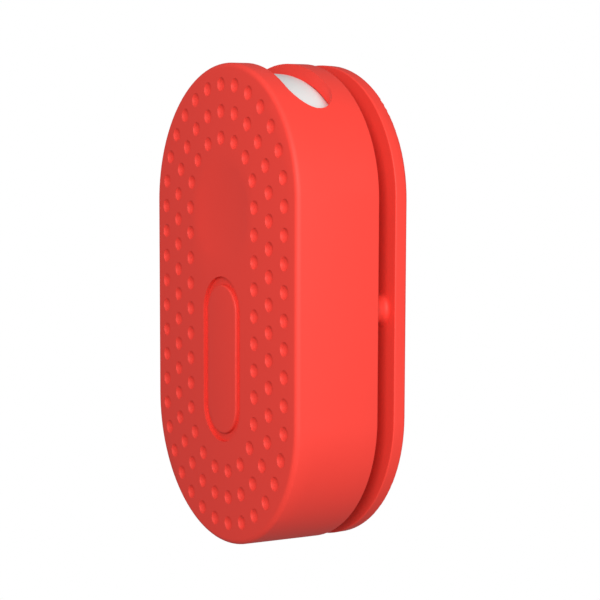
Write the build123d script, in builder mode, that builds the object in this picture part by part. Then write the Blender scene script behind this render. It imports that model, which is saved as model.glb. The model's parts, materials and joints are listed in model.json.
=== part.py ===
"""Tracker tag in a one-piece silicone strap holder.

The tag is an obround white capsule with a round key-ring hole, a push button and a
coin cell in a pull-out tray. It sits in a silicone sleeve that it was pushed into
through the slot in the sleeve's top. Two short posts join a back plate to the sleeve,
and a collar or strap runs up between the sleeve and that plate.

Frame: millimetres, +Z up along the tag, front face towards -Y, origin at the middle
of the strap gap.
"""
from build123d import *
import os
from math import atan, cos, degrees, pi, sin

# ---- driving sizes -------------------------------------------------------------
# the tag
tag_width = 28.8
tag_height = 52.4
tag_depth = 8.0
tag_edge_radius = 2.5
shell_wall = 0.9
lid_depth = 6.9           # where the rear lid begins, behind the tag's front face
lid_clearance = 0.05
ring_hole_radius = 7.2
ring_hole_height = 10.6   # centre of the key-ring hole above the tag's middle
liner_wall = 0.6
running = 0.05

# the silicone holder
side_wall = 1.25
front_wall = 1.15
back_wall = 1.1
front_draft = 0.42        # how much narrower the front outline is, all round
front_edge_radius = 0.6
strap_gap = 2.15
plate_thickness = 1.6
plate_edge_radius = 0.3
post_radius = 1.5
post_flare = 0.45
post_rim = 0.03
post_inset = 2.75         # centre of each post in from the plate's side
slot_length = 24.0        # mouth in the sleeve's top, across
slot_depth = 5.55         # and front to back

# the front face's pattern
dimple_radius = 0.8
dimple_depth = 0.42
ring_pitch = 2.96         # between rings of dimples
outer_ring_inset = 2.35   # outer ring in from the front outline
ring_counts = (43, 37, 31)
dish_radius = 6.0
dish_depth = 0.35
pad_width = 6.2
pad_length = 16.9
pad_height = -6.1         # centre of the press pad above the tag's middle
pad_thickness = 0.75
groove_width = 0.95
groove_depth = 0.45
web_thickness = 0.3
web_clearance = 0.02
boss_radius = 1.5
press_travel = 0.35

# inside the tag, depths measured behind the tag's front face
board_depth = 2.1
board_thickness = 0.5
board_clearance = 0.4
button_radius = 3.7
button_clearance = 0.08
button_flange = 0.5
button_depth = 1.2
plunger_radius = 0.9
switch_width = 4.8
switch_thickness = 0.45
cell_radius = 10.0
cell_thickness = 3.2
cell_height = -11.2       # centre of the coin cell above the tag's middle
tray_depth = 3.0
tray_wall = 0.9
tray_floor = 0.3
cell_clearance = 0.12
speaker_radius = 6.0
speaker_height = -4.7
speaker_recess = 0.3
screw_spots = ((-8.6, 20.0), (8.6, 20.0), (-11.7, -9.0), (11.7, -9.0))
screw_radius = 0.5
screw_head_radius = 0.95
boss_wall = 0.5

# ---- sizes that follow -----------------------------------------------------------
tag_radius = tag_width / 2
straight = tag_height - tag_width
cavity_radius = tag_radius + running
sleeve_radius = cavity_radius + side_wall
front_radius = sleeve_radius - front_draft
sleeve_depth = front_wall + tag_depth + 2 * running + back_wall
sleeve_back = -strap_gap / 2
sleeve_front = sleeve_back - sleeve_depth
plate_front = strap_gap / 2
tag_front = sleeve_front + front_wall + running
tag_back = tag_front + tag_depth
tag_middle = (tag_front + tag_back) / 2
room_radius = tag_radius - shell_wall
room_front = tag_front + shell_wall
lid_front = tag_front + lid_depth
liner_radius = ring_hole_radius + liner_wall
tube_radius = liner_radius + running + shell_wall
button_height = pad_height - (pad_length - pad_width) / 2
board_front = tag_front + board_depth
board_back = board_front + board_thickness
board_radius = room_radius - board_clearance
tray_front = tag_front + tray_depth
cell_front = tray_front + running
cell_back = cell_front + cell_thickness
tray_back = cell_back + running + tray_floor
tray_half = cell_radius + cell_clearance + tray_wall
tray_top = cell_height + tray_half
speaker_back = lid_front + lid_clearance + speaker_recess
spring_top = board_front - switch_thickness


def at_y(y):
    """Sketch plane facing the front at depth y; extruding from it goes forward."""
    return Plane.XZ.offset(-y)


def obround(radius, mode=Mode.ADD):
    """An upright obround of that end radius in the current sketch."""
    return SlotCenterToCenter(straight, 2 * radius, rotation=90, mode=mode)


def along_obround(radius, count):
    """Evenly spaced places round an upright obround, from its top."""
    quarter = pi * radius / 2
    length = 2 * straight + 4 * quarter
    places = []
    for number in range(count):
        run = number * length / count
        side = 1 if run <= length / 2 else -1
        run = min(run, length - run)
        if run < quarter:
            angle = run / radius
            places.append((side * radius * sin(angle), straight / 2 + radius * cos(angle)))
        elif run < quarter + straight:
            places.append((side * radius, straight / 2 - (run - quarter)))
        else:
            angle = (run - quarter - straight) / radius
            places.append((side * radius * cos(angle), -straight / 2 - radius * sin(angle)))
    return places


def cap_sphere(mouth, depth):
    """Radius of the sphere whose cap has that mouth radius and depth."""
    return (mouth**2 + depth**2) / (2 * depth)


def rounded_capsule(radius, front, back, edge):
    """A solid obround with rounded front and back edges."""
    with BuildPart() as capsule:
        with BuildSketch(at_y(back)):
            obround(radius)
        extrude(amount=back - front)
        fillet(capsule.faces().group_by(Axis.Y)[0].edges(), edge)
        fillet(capsule.faces().group_by(Axis.Y)[-1].edges(), edge)
    return capsule.part


def disc(radius, front, back, x=0, z=0):
    """A round plate facing front."""
    with BuildPart() as plate:
        with BuildSketch(at_y(back)):
            with Locations((x, z)):
                Circle(radius)
        extrude(amount=back - front)
    return plate.part


def block(width, height, front, back, x=0, z=0, corner=0):
    """A rectangular plate facing front."""
    with BuildPart() as plate:
        with BuildSketch(at_y(back)):
            with Locations((x, z)):
                if corner:
                    RectangleRounded(width, height, corner)
                else:
                    Rectangle(width, height)
        extrude(amount=back - front)
    return plate.part


def ring(outer, inner, front, back, x=0, z=0):
    """A flat ring facing front."""
    with BuildPart() as loop:
        with BuildSketch(at_y(back)):
            with Locations((x, z)):
                Circle(outer)
                Circle(inner, mode=Mode.SUBTRACT)
        extrude(amount=back - front)
    return loop.part


def save(piece, name):
    """Labels a finished piece and writes it."""
    piece.label = name
    export_step(piece, f"parts/{name}.step")


os.makedirs("parts", exist_ok=True)

# ---- the silicone holder -----------------------------------------------------------
tag_space = rounded_capsule(
    cavity_radius, tag_front - running, tag_back + running, tag_edge_radius + running
)

with BuildPart() as silicone_sleeve:
    with BuildSketch(at_y(sleeve_back)):
        obround(sleeve_radius)
    extrude(amount=sleeve_depth, taper=degrees(atan(front_draft / sleeve_depth)))
    fillet(silicone_sleeve.faces().sort_by(Axis.Y)[0].edges(), front_edge_radius)
    fillet(silicone_sleeve.faces().sort_by(Axis.Y)[-1].edges(), 0.2)
    add(tag_space, mode=Mode.SUBTRACT)
    # mouth in the top, cut straight down into the cavity
    with BuildSketch(Plane.XY.offset(straight / 2)):
        with Locations((0, tag_middle)):
            SlotOverall(slot_length, slot_depth)
    extrude(amount=sleeve_radius + 1, mode=Mode.SUBTRACT)
    # opening for the press pad and its web
    with BuildSketch(at_y(sleeve_front + front_wall)):
        with Locations((0, pad_height)):
            SlotOverall(pad_length + 2 * groove_width, pad_width + 2 * groove_width, rotation=90)
    extrude(amount=front_wall, mode=Mode.SUBTRACT)
    # dish over the key-ring hole
    dish_sphere = cap_sphere(dish_radius, dish_depth)
    with Locations((0, sleeve_front + dish_depth - dish_sphere, ring_hole_height)):
        Sphere(dish_sphere, mode=Mode.SUBTRACT)
    # rings of dimples
    dimple_sphere = cap_sphere(dimple_radius, dimple_depth)
    for row, count in enumerate(ring_counts):
        ring_radius = front_radius - outer_ring_inset - row * ring_pitch
        spots = [(x, sleeve_front + dimple_depth - dimple_sphere, z)
                 for x, z in along_obround(ring_radius, count)]
        with Locations(*spots):
            Sphere(dimple_sphere, mode=Mode.SUBTRACT)
save(silicone_sleeve.part, "silicone_sleeve")

with BuildPart() as back_plate:
    with BuildSketch(at_y(plate_front + plate_thickness)):
        obround(sleeve_radius)
    extrude(amount=plate_thickness)
    fillet(back_plate.faces().group_by(Axis.Y)[0].edges(), 0.15)
    fillet(back_plate.faces().group_by(Axis.Y)[-1].edges(), plate_edge_radius)
save(back_plate.part, "back_plate")

# posts between the sleeve and the plate, flared at both ends
post_foot = sleeve_back + 0.01
post_head = plate_front - 0.01
flare_radius = post_radius + post_flare
with BuildPart() as strap_posts:
    for side in (-1, 1):
        post_x = side * (sleeve_radius - post_inset)
        with BuildSketch(Plane.XY):
            with BuildLine():
                Polyline(
                    (post_x, post_foot),
                    (post_x + flare_radius, post_foot),
                    (post_x + flare_radius, post_foot + post_rim),
                )
                CenterArc(
                    (post_x + flare_radius, post_foot + post_rim + post_flare), post_flare, 270, -90
                )
                Line(
                    (post_x + post_radius, post_foot + post_rim + post_flare),
                    (post_x + post_radius, post_head - post_rim - post_flare),
                )
                CenterArc(
                    (post_x + flare_radius, post_head - post_rim - post_flare), post_flare, 180, -90
                )
                Polyline(
                    (post_x + flare_radius, post_head - post_rim),
                    (post_x + flare_radius, post_head),
                    (post_x, post_head),
                    (post_x, post_foot),
                )
            make_face()
        revolve(axis=Axis((post_x, 0, 0), (0, 1, 0)))
save(strap_posts.part, "strap_posts")

with BuildPart() as pad_web:
    with BuildSketch(at_y(sleeve_front + groove_depth + web_thickness)):
        with Locations((0, pad_height)):
            SlotOverall(
                pad_length + 2 * (groove_width - web_clearance),
                pad_width + 2 * (groove_width - web_clearance),
                rotation=90,
            )
            SlotOverall(
                pad_length + 2 * web_clearance,
                pad_width + 2 * web_clearance,
                rotation=90,
                mode=Mode.SUBTRACT,
            )
    extrude(amount=web_thickness)
save(pad_web.part, "pad_web")

with BuildPart() as press_pad:
    with BuildSketch(at_y(sleeve_front + pad_thickness)):
        with Locations((0, pad_height)):
            SlotOverall(pad_length, pad_width, rotation=90)
    extrude(amount=pad_thickness)
    fillet(press_pad.faces().sort_by(Axis.Y)[0].edges(), 0.2)
    add(disc(boss_radius, sleeve_front + 0.3, tag_front - running, 0, button_height))
save(press_pad.part, "press_pad")

# ---- the tag's case -------------------------------------------------------------------
tag_solid = rounded_capsule(tag_radius, tag_front, tag_back, tag_edge_radius)

with BuildPart() as front_shell:
    add(tag_solid)
    with Locations((0, lid_front, 0)):
        Box(100, 20, 100, align=(Align.CENTER, Align.MIN, Align.CENTER), mode=Mode.SUBTRACT)
    # room inside, following the outside's rounded front edge
    with BuildPart(mode=Mode.PRIVATE) as room:
        with BuildSketch(at_y(lid_front)):
            obround(room_radius)
        extrude(amount=lid_front - room_front)
        fillet(room.faces().sort_by(Axis.Y)[0].edges(), tag_edge_radius - shell_wall)
    add(room.part, mode=Mode.SUBTRACT)
    # wall round the key-ring hole, and the bosses under the board
    add(disc(tube_radius, room_front - 0.2, lid_front, 0, ring_hole_height))
    for x, z in screw_spots:
        add(disc(screw_radius + boss_wall, room_front - 0.2, board_front - running, x, z))
        add(disc(screw_radius + 0.02, room_front, board_front, x, z), mode=Mode.SUBTRACT)
    add(
        disc(liner_radius + running, tag_front - 1, lid_front + 1, 0, ring_hole_height),
        mode=Mode.SUBTRACT,
    )
    # hole for the button
    add(
        disc(button_radius + button_clearance, tag_front - 1, room_front + 1, 0, button_height),
        mode=Mode.SUBTRACT,
    )
    # mouth for the battery tray, out through the bottom
    mouth_height = tray_top + tag_height / 2 + 1
    add(
        block(
            2 * (tray_half + running),
            mouth_height,
            tray_front - running,
            tray_back + running,
            z=tray_top - mouth_height / 2,
        ),
        mode=Mode.SUBTRACT,
    )
save(front_shell.part, "front_shell")

vent_height = 22.4

with BuildPart() as rear_lid:
    add(tag_solid)
    with Locations((0, lid_front + lid_clearance, 0)):
        Box(100, 20, 100, align=(Align.CENTER, Align.MAX, Align.CENTER), mode=Mode.SUBTRACT)
    add(
        disc(liner_radius + running, lid_front - 1, tag_back + 1, 0, ring_hole_height),
        mode=Mode.SUBTRACT,
    )
    add(
        disc(speaker_radius + 0.2, lid_front - 1, speaker_back, 0, speaker_height),
        mode=Mode.SUBTRACT,
    )
    add(disc(0.4, lid_front - 1, tag_back + 1, 0, vent_height), mode=Mode.SUBTRACT)
save(rear_lid.part, "rear_lid")

with BuildPart() as lid_seal:
    with BuildSketch(at_y(lid_front + lid_clearance)):
        obround(room_radius - running)
        obround(room_radius - running - 0.7, mode=Mode.SUBTRACT)
    extrude(amount=0.3)
save(lid_seal.part, "lid_seal")

save(disc(1.5, lid_front - 0.1, lid_front + lid_clearance, 0, vent_height), "vent_membrane")

with BuildPart() as loop_liner:
    add(ring(liner_radius, ring_hole_radius, tag_front + 0.05, tag_back - 0.05,
             z=ring_hole_height))
    chamfer(loop_liner.edges().filter_by(GeomType.CIRCLE), 0.15)
save(loop_liner.part, "loop_liner")

# ---- the button and its switch ---------------------------------------------------------
button_back = tag_front + button_depth

with BuildPart() as button_cap:
    add(disc(button_radius, tag_front, button_back, 0, button_height))
    add(disc(button_radius + button_flange, room_front + running, button_back, 0, button_height))
    fillet(button_cap.faces().sort_by(Axis.Y)[0].edges(), 0.15)
save(button_cap.part, "button_cap")

save(
    ring(button_radius + 1.9, button_radius + button_flange + 0.1, room_front + 0.02,
         room_front + 0.35, z=button_height),
    "button_seal",
)

save(
    disc(plunger_radius, button_back + 0.01, spring_top - 0.03, 0, button_height),
    "switch_plunger",
)

with BuildPart() as switch_body:
    add(block(switch_width, switch_width, spring_top, board_front - 0.01, z=button_height,
              corner=0.4))
    add(disc(1.9, spring_top - 1, board_front - 0.1, 0, button_height), mode=Mode.SUBTRACT)
save(switch_body.part, "switch_body")

dome_rise = switch_thickness - 0.1
dome_sphere = cap_sphere(1.8, dome_rise)
dome_sheet = 0.08
with BuildPart() as switch_dome:
    with Locations((0, spring_top + dome_sphere, button_height)):
        Sphere(dome_sphere)
        Sphere(dome_sphere - dome_sheet, mode=Mode.SUBTRACT)
    with Locations((0, spring_top + dome_rise - 0.01, button_height)):
        Box(50, 50, 50, align=(Align.CENTER, Align.MIN, Align.CENTER), mode=Mode.SUBTRACT)
save(switch_dome.part, "switch_dome")

# ---- the circuit board -------------------------------------------------------------------
with BuildPart() as circuit_board:
    with BuildSketch(at_y(board_back)):
        obround(board_radius)
        with Locations((0, ring_hole_height)):
            Circle(tube_radius + 0.25, mode=Mode.SUBTRACT)
        with Locations(*screw_spots):
            Circle(screw_radius + 0.1, mode=Mode.SUBTRACT)
    extrude(amount=board_thickness)
save(circuit_board.part, "circuit_board")


def on_board(width, height, thickness, x, z, name, corner=0):
    """A component standing on the front of the board."""
    save(block(width, height, board_front - thickness, board_front - 0.01, x, z, corner), name)


can_width = 7.0
can_height = 6.0
can_rise = 0.95
can_x = -6.6
chip_z = -2.6
with BuildPart() as shield_can:
    add(block(can_width, can_height, board_front - can_rise, board_front - 0.01, can_x, chip_z,
              corner=0.5))
    add(
        block(can_width - 0.3, can_height - 0.3, board_front - can_rise + 0.15, board_front + 1,
              can_x, chip_z, corner=0.35),
        mode=Mode.SUBTRACT,
    )
save(shield_can.part, "shield_can")
on_board(4.6, 4.6, 0.6, can_x, chip_z, "radio_chip")
on_board(4.2, 4.2, 0.8, 6.6, chip_z, "ranging_chip")
on_board(2.6, 2.0, 0.7, 0.0, chip_z, "crystal")
on_board(1.6, 5.0, 0.9, 11.2, ring_hole_height, "chip_antenna")
on_board(2.0, 7.0, 0.5, -11.2, ring_hole_height, "patch_antenna")
on_board(3.0, 3.0, 0.6, 7.0, -17.5, "motion_chip")

small_parts = ((-3.0, -18.0), (-1.2, -18.0), (0.6, -18.0), (2.4, -18.0), (-6.5, -17.5),
               (-6.5, -15.4))
with BuildPart() as capacitors:
    with BuildSketch(at_y(board_front - 0.01)):
        with Locations(*small_parts):
            Rectangle(0.8, 1.6)
    extrude(amount=0.6)
save(capacitors.part, "capacitors")

save(ring(11.6, 9.2, room_front + 0.02, room_front + 0.2, z=ring_hole_height), "loop_coil")

with BuildPart() as board_screws:
    for x, z in screw_spots:
        add(disc(screw_radius, room_front + 0.1, board_back + 0.05, x, z))
        add(disc(screw_head_radius, board_back + 0.01, board_back + 0.35, x, z))
        with BuildSketch(at_y(board_back + 0.35)):
            with Locations((x, z)):
                Rectangle(1.2, 0.2)
                Rectangle(0.2, 1.2)
        extrude(amount=0.15, mode=Mode.SUBTRACT)
save(board_screws.part, "board_screws")

# ---- the cell and its tray -----------------------------------------------------------------
with BuildPart() as cell_can:
    add(disc(cell_radius, cell_front + 0.25, cell_back, 0, cell_height))
    fillet(cell_can.edges().group_by(Axis.Y)[-1], 0.3)
    add(disc(cell_radius - 0.65, cell_front, cell_front + 0.85, 0, cell_height),
        mode=Mode.SUBTRACT)
save(cell_can.part, "cell_can")

save(
    ring(cell_radius - 0.67, cell_radius - 1.35, cell_front + 0.15, cell_front + 0.83,
         z=cell_height),
    "cell_gasket",
)

with BuildPart() as cell_cap:
    add(disc(cell_radius - 1.37, cell_front, cell_front + 0.83, 0, cell_height))
    fillet(cell_cap.faces().sort_by(Axis.Y)[0].edges(), 0.2)
save(cell_cap.part, "cell_cap")

contact_width = 3.0
contact_height = cell_height + cell_radius + 0.45
latch_height = -8.0
with BuildPart() as battery_tray:
    tray_length = tray_top + tag_height / 2
    add(block(2 * tray_half, tray_length, tray_front, tray_back, z=tray_top - tray_length / 2))
    add(tag_solid, mode=Mode.INTERSECT)
    add(
        disc(cell_radius + cell_clearance, tray_front - 1, tray_back - tray_floor, 0, cell_height),
        mode=Mode.SUBTRACT,
    )
    # way through the top wall for the positive contact
    add(
        block(contact_width + 0.3, 3, tray_front - 1, tray_back - 1.2, z=tray_top),
        mode=Mode.SUBTRACT,
    )
    # catch for the latch
    add(
        block(0.8, 2.0, tray_front + 1.0, tray_front + 2.4, tray_half, latch_height),
        mode=Mode.SUBTRACT,
    )
save(battery_tray.part, "battery_tray")

with BuildPart() as tray_latch:
    add(block(0.25, 5.0, tray_front + 1.1, tray_front + 2.3, tray_half + 0.5, latch_height))
    add(block(0.65, 1.6, tray_front + 1.1, tray_front + 2.3, tray_half + 0.1, latch_height))
save(tray_latch.part, "tray_latch")

with BuildPart() as positive_contact:
    add(block(contact_width, 0.3, board_back + 0.01, tray_front + 2.2, z=contact_height))
    add(block(contact_width, 1.6, board_back + 0.01, board_back + 0.2, z=contact_height + 0.65))
save(positive_contact.part, "positive_contact")

with BuildPart() as negative_contact:
    add(block(2.4, 7.0, board_back + 0.01, board_back + 0.15, z=cell_height - 1.0))
    add(disc(0.8, board_back + 0.1, cell_front - 0.02, 0, cell_height - 3.0))
save(negative_contact.part, "negative_contact")

# ---- the sounder -----------------------------------------------------------------------------
save(disc(speaker_radius, speaker_back - 0.2, speaker_back - 0.01, 0, speaker_height),
     "sounder_plate")
save(disc(speaker_radius - 1.0, speaker_back - 0.42, speaker_back - 0.21, 0, speaker_height),
     "sounder_ceramic")

with BuildPart() as sounder_pins:
    for x in (-2.4, 2.4):
        add(disc(0.3, board_back + 0.01, speaker_back - 0.22, x, 0.45))
save(sounder_pins.part, "sounder_pins")
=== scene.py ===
"""Studio picture of a tracker tag in its silicone strap holder.

Metres, +Z up along the tag, front face towards -Y, origin at the middle of the strap gap.
"""
import json
from math import radians

import bpy
from mathutils import Matrix, Vector

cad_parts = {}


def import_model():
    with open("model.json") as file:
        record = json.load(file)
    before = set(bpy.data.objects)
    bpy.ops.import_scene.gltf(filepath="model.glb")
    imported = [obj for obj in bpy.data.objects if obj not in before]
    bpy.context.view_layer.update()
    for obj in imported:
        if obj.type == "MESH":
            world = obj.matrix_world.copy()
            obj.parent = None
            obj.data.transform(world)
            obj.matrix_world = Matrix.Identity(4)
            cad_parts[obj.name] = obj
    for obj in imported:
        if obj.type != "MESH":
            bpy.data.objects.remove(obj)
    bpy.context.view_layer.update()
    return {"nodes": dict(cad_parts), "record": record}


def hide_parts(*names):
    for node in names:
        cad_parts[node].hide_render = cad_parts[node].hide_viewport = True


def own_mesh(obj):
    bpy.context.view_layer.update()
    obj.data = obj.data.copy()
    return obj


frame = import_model()

MM = 0.001

# ---- camera ------------------------------------------------------------------------
CAMERA_AT = Vector((124.57, -84.70, 11.57)) * MM
LOOK_AT = Vector((0, -4.29, 0)) * MM
ROLL = radians(0.09)
LENS = 77.0
SENSOR = 36.0
CAMERA_NEAR = 0.005
CAMERA_FAR = 10.0
SHIFT = (0.0427, 0.0051)

# ---- lights: name, position and aim in millimetres, size in metres, watts ------------
LIGHTS = (
    ("side", (320, 0, 30), (0, -5, 0), (0.12, 0.24), 0.40),
    ("front", (130, -115, 50), (0, -10, 0), (0.09, 0.09), 0.235),
    ("top", (40, -140, 280), (0, -5, 0), (0.16, 0.16), 0.10),
)
WORLD_FILL = 0.28
BACKGROUND = 1.0
WHITE = (1, 1, 1, 1)

# ---- shading --------------------------------------------------------------------------
SMOOTH_BELOW = radians(32)   # edges sharper than this stay crisp
WELD = 1e-7
ROUGH_SPREAD = 0.06          # how far roughness wanders with each noise
GRAIN_HEIGHT = 0.02 * MM


# ---- shader maths ----------------------------------------------------------------------
class Value:
    """A shader socket that can be used in arithmetic."""

    def __init__(self, material, socket):
        self.material = material
        self.socket = socket

    def maths(self, operation, other):
        """One maths node on this value and another value or number."""
        return self.material.node("ShaderNodeMath", {0: self, 1: other}, operation=operation)

    def __add__(self, other):
        return self.maths("ADD", other)

    def __mul__(self, other):
        return self.maths("MULTIPLY", other)

    __radd__ = __add__


class Material:
    """A material whose nodes are added one call at a time."""

    def __init__(self, name):
        self.data = bpy.data.materials.new(name)
        self.data.use_nodes = True
        self.tree = self.data.node_tree
        self.shader = self.tree.nodes["Principled BSDF"]
        self.place = self.node("ShaderNodeTexCoord", {}, out="Object")

    def node(self, kind, inputs, out=0, **settings):
        """Adds a node, sets or links its inputs, and returns one of its outputs."""
        new = self.tree.nodes.new(kind)
        for name, value in settings.items():
            setattr(new, name, value)
        for name, value in inputs.items():
            self.feed(new.inputs[name], value)
        return Value(self, new.outputs[out])

    def feed(self, socket, value):
        """Links a value to a socket, or sets a constant."""
        if isinstance(value, Value):
            self.tree.links.new(value.socket, socket)
        else:
            socket.default_value = value

    def noise(self, scale, detail=3.0):
        """Noise in object coordinates, about 0 to 1."""
        return self.node("ShaderNodeTexNoise",
                         {"Vector": self.place, "Scale": scale, "Detail": detail}, out=0)

    def mix(self, share, first, second):
        """A colour between two."""
        ramp = self.tree.nodes.new("ShaderNodeMix")
        ramp.data_type = "RGBA"
        self.feed(ramp.inputs[0], share)
        self.feed(ramp.inputs[6], first)
        self.feed(ramp.inputs[7], second)
        return Value(self, ramp.outputs[2])

    def bump(self, height, strength, distance):
        """A bump from a height value."""
        return self.node("ShaderNodeBump",
                         {"Height": height, "Strength": strength, "Distance": distance})


def finish(name, colour, rough, metallic=0.0, grain=9000.0, relief=0.15, patch=260.0,
           change=0.12, specular=0.5):
    """A surface with fine grain, patchy roughness and slight colour change."""
    made = Material(name)
    broad = made.noise(patch, 4.0)
    fine = made.noise(grain, 2.0)
    darker = tuple(c * (1 - change) for c in colour)
    made.feed(made.shader.inputs["Base Color"], made.mix(broad, (*darker, 1), (*colour, 1)))
    wander = broad * ROUGH_SPREAD + fine * ROUGH_SPREAD
    made.feed(made.shader.inputs["Roughness"], rough - ROUGH_SPREAD + wander)
    made.feed(made.shader.inputs["Normal"], made.bump(fine, relief, GRAIN_HEIGHT))
    made.feed(made.shader.inputs["Metallic"], metallic)
    made.feed(made.shader.inputs["Specular IOR Level"], specular)
    return made.data


FINISHES = {
    "silicone": finish("silicone", (0.87, 0.052, 0.036), 0.55, relief=0.1, change=0.03,
                       specular=0.3),
    "case": finish("case", (0.80, 0.80, 0.79), 0.38, relief=0.05, change=0.03),
    "seal": finish("seal", (0.03, 0.03, 0.03), 0.6),
    "membrane": finish("membrane", (0.75, 0.75, 0.74), 0.8, grain=20000.0, relief=0.4),
    "steel": finish("steel", (0.60, 0.60, 0.62), 0.28, 1.0, relief=0.08),
    "switch_plastic": finish("switch_plastic", (0.03, 0.03, 0.03), 0.45),
    "board": finish("board", (0.02, 0.12, 0.05), 0.35, patch=900.0, change=0.3),
    "tin": finish("tin", (0.62, 0.62, 0.60), 0.35, 1.0, relief=0.1),
    "chip": finish("chip", (0.025, 0.025, 0.027), 0.5, relief=0.2),
    "ceramic": finish("ceramic", (0.62, 0.56, 0.44), 0.55, relief=0.1),
    "copper": finish("copper", (0.75, 0.34, 0.18), 0.32, 1.0),
    "cell_steel": finish("cell_steel", (0.66, 0.66, 0.66), 0.26, 1.0, relief=0.06),
    "gold": finish("gold", (0.86, 0.62, 0.24), 0.25, 1.0),
    "brass": finish("brass", (0.72, 0.54, 0.22), 0.3, 1.0),
}


# ---- the pieces --------------------------------------------------------------------------
def deselect():
    """Nothing selected, nothing active."""
    for thing in bpy.context.selected_objects:
        thing.select_set(False)
    bpy.context.view_layer.objects.active = None


def smooth_copy(node):
    """A welded copy of a modelled piece with smooth shading, shown in its place."""
    deselect()
    source = frame["nodes"][node]
    copy = source.copy()
    copy.data = source.data.copy()
    copy.name = f"{node}_skin"
    bpy.context.scene.collection.objects.link(copy)
    copy.select_set(True)
    bpy.context.view_layer.objects.active = copy
    bpy.ops.object.mode_set(mode="EDIT")
    bpy.ops.mesh.select_all(action="SELECT")
    bpy.ops.mesh.remove_doubles(threshold=WELD)
    bpy.ops.object.mode_set(mode="OBJECT")
    bpy.ops.mesh.customdata_custom_splitnormals_clear()
    bpy.ops.object.shade_smooth_by_angle(angle=SMOOTH_BELOW)
    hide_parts(node)
    return copy


for entry in frame["record"]["subparts"]:
    piece = smooth_copy(entry["node"])
    piece.data.materials.clear()
    piece.data.materials.append(FINISHES[entry["material_slot"]])
    if entry["node"] == "switch_dome":
        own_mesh(piece)


# ---- the studio --------------------------------------------------------------------------
def area_light(name, at, aim, size, power):
    """A soft rectangular light."""
    lamp = bpy.data.lights.new(name, "AREA")
    lamp.shape = "RECTANGLE"
    lamp.size, lamp.size_y = size
    lamp.energy = power
    holder = bpy.data.objects.new(name, lamp)
    holder.location = Vector(at) * MM
    holder.rotation_euler = (Vector(aim) * MM - holder.location).to_track_quat("-Z", "Y").to_euler()
    bpy.context.scene.collection.objects.link(holder)
    holder.visible_camera = False


def world():
    """White behind the holder, a softer white for everything it reflects."""
    sky = bpy.data.worlds.new("sky")
    bpy.context.scene.world = sky
    sky.use_nodes = True
    tree = sky.node_tree
    tree.nodes.clear()
    path = tree.nodes.new("ShaderNodeLightPath")
    seen = tree.nodes.new("ShaderNodeBackground")
    seen.inputs["Strength"].default_value = BACKGROUND
    seen.inputs["Color"].default_value = WHITE
    fill = tree.nodes.new("ShaderNodeBackground")
    fill.inputs["Strength"].default_value = WORLD_FILL
    fill.inputs["Color"].default_value = WHITE
    blend = tree.nodes.new("ShaderNodeMixShader")
    out = tree.nodes.new("ShaderNodeOutputWorld")
    tree.links.new(path.outputs["Is Camera Ray"], blend.inputs[0])
    tree.links.new(fill.outputs[0], blend.inputs[1])
    tree.links.new(seen.outputs[0], blend.inputs[2])
    tree.links.new(blend.outputs[0], out.inputs["Surface"])


def camera():
    """The camera, a little above the holder on its right."""
    lens = bpy.data.cameras.new("camera")
    lens.lens = LENS
    lens.sensor_width = SENSOR
    lens.shift_x, lens.shift_y = SHIFT
    lens.clip_start = CAMERA_NEAR
    lens.clip_end = CAMERA_FAR
    holder = bpy.data.objects.new("camera", lens)
    holder.location = CAMERA_AT
    turn = (LOOK_AT - CAMERA_AT).to_track_quat("-Z", "Y").to_matrix()
    holder.rotation_euler = (turn @ Matrix.Rotation(ROLL, 3, "Z")).to_euler()
    bpy.context.scene.collection.objects.link(holder)
    bpy.context.scene.camera = holder


for name, at, aim, size, power in LIGHTS:
    area_light(name, at, aim, size, power)
world()
camera()
bpy.context.scene.view_settings.view_transform = "Standard"
